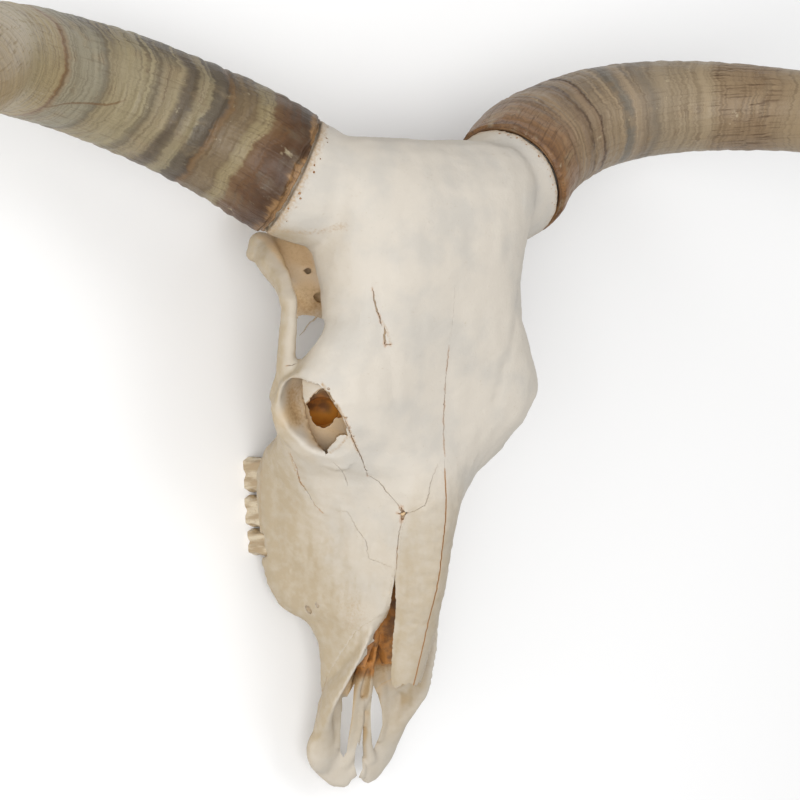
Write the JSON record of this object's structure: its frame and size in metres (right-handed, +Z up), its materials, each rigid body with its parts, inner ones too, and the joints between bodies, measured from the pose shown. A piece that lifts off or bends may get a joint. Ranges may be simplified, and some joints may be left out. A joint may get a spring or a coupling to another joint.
{
  "type": "longhorn skull",
  "caption": "Dry longhorn steer skull without its lower jaw, with long sweeping horns; it lies on its back teeth and the bony feet under the back of the head",
  "frame": {"origin": "Bottom centre of the outline box: the middle between the horn tips, half way from the horns' rear bend to the tip of the upper jaw, on the surface that the skull lies on", "axes": "+Z is up, out of the surface that the skull lies on. +X runs to the skull's left, along the spread of the horns. -Y is the way the muzzle points, and +Y is the back of the head. The skull's middle plane is X = 0"},
  "size_m": [1.238, 0.5844, 0.458],
  "materials": {
    "bone": "matte",
    "enamel": "satin",
    "horn": "satin"
  },
  "bodies": {
    "root": {"cranium": "bone", "nasal_bone_left": "bone", "nasal_bone_right": "bone", "premaxilla_left": "bone", "premaxilla_right": "bone", "molar_1_left": "enamel", "molar_1_right": "enamel", "molar_2_left": "enamel", "molar_2_right": "enamel", "molar_3_left": "enamel", "molar_3_right": "enamel", "horn_sheath_left": "horn", "horn_sheath_right": "horn"}
  },
  "joints": []
}
